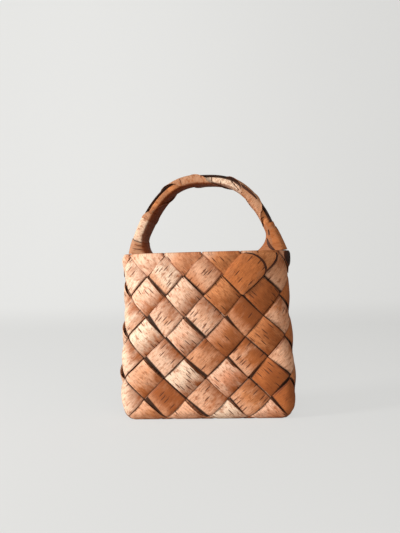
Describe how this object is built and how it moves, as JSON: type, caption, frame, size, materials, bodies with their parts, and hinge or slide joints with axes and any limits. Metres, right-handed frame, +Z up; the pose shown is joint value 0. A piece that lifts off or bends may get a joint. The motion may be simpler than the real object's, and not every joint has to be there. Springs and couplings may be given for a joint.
{
  "type": "wall basket",
  "caption": "Flat-based wall basket plaited on the bias from birch-bark strips, with a folded rim and a bark-wrapped hoop handle to hang or carry it by.",
  "frame": {"origin": "on the ground under the middle of the base", "axes": "+Z up, +X to the right along the front, the front faces -Y"},
  "size_m": [0.1802, 0.085, 0.2537],
  "materials": {
    "bark_pale": "smooth pale inner bark with dark dashes",
    "bark_tan": "smooth tan inner bark with dark dashes",
    "bark_brown": "smooth brown inner bark",
    "bark_dark": "dark outer bark"
  },
  "bodies": {
    "root": {"falling_strip_1": "bark_pale", "falling_strip_2": "bark_tan", "falling_strip_3": "bark_tan", "falling_strip_4": "bark_pale", "falling_strip_5": "bark_tan", "rising_strip_1": "bark_tan", "rising_strip_2": "bark_brown", "rising_strip_3": "bark_tan", "rising_strip_4": "bark_tan", "rising_strip_5": "bark_pale", "handle_core": "bark_brown", "handle_outer_ply": "bark_dark", "handle_wrap": "bark_tan", "left_foot_sleeve": "bark_brown", "right_foot_sleeve": "bark_tan"}
  },
  "joints": []
}
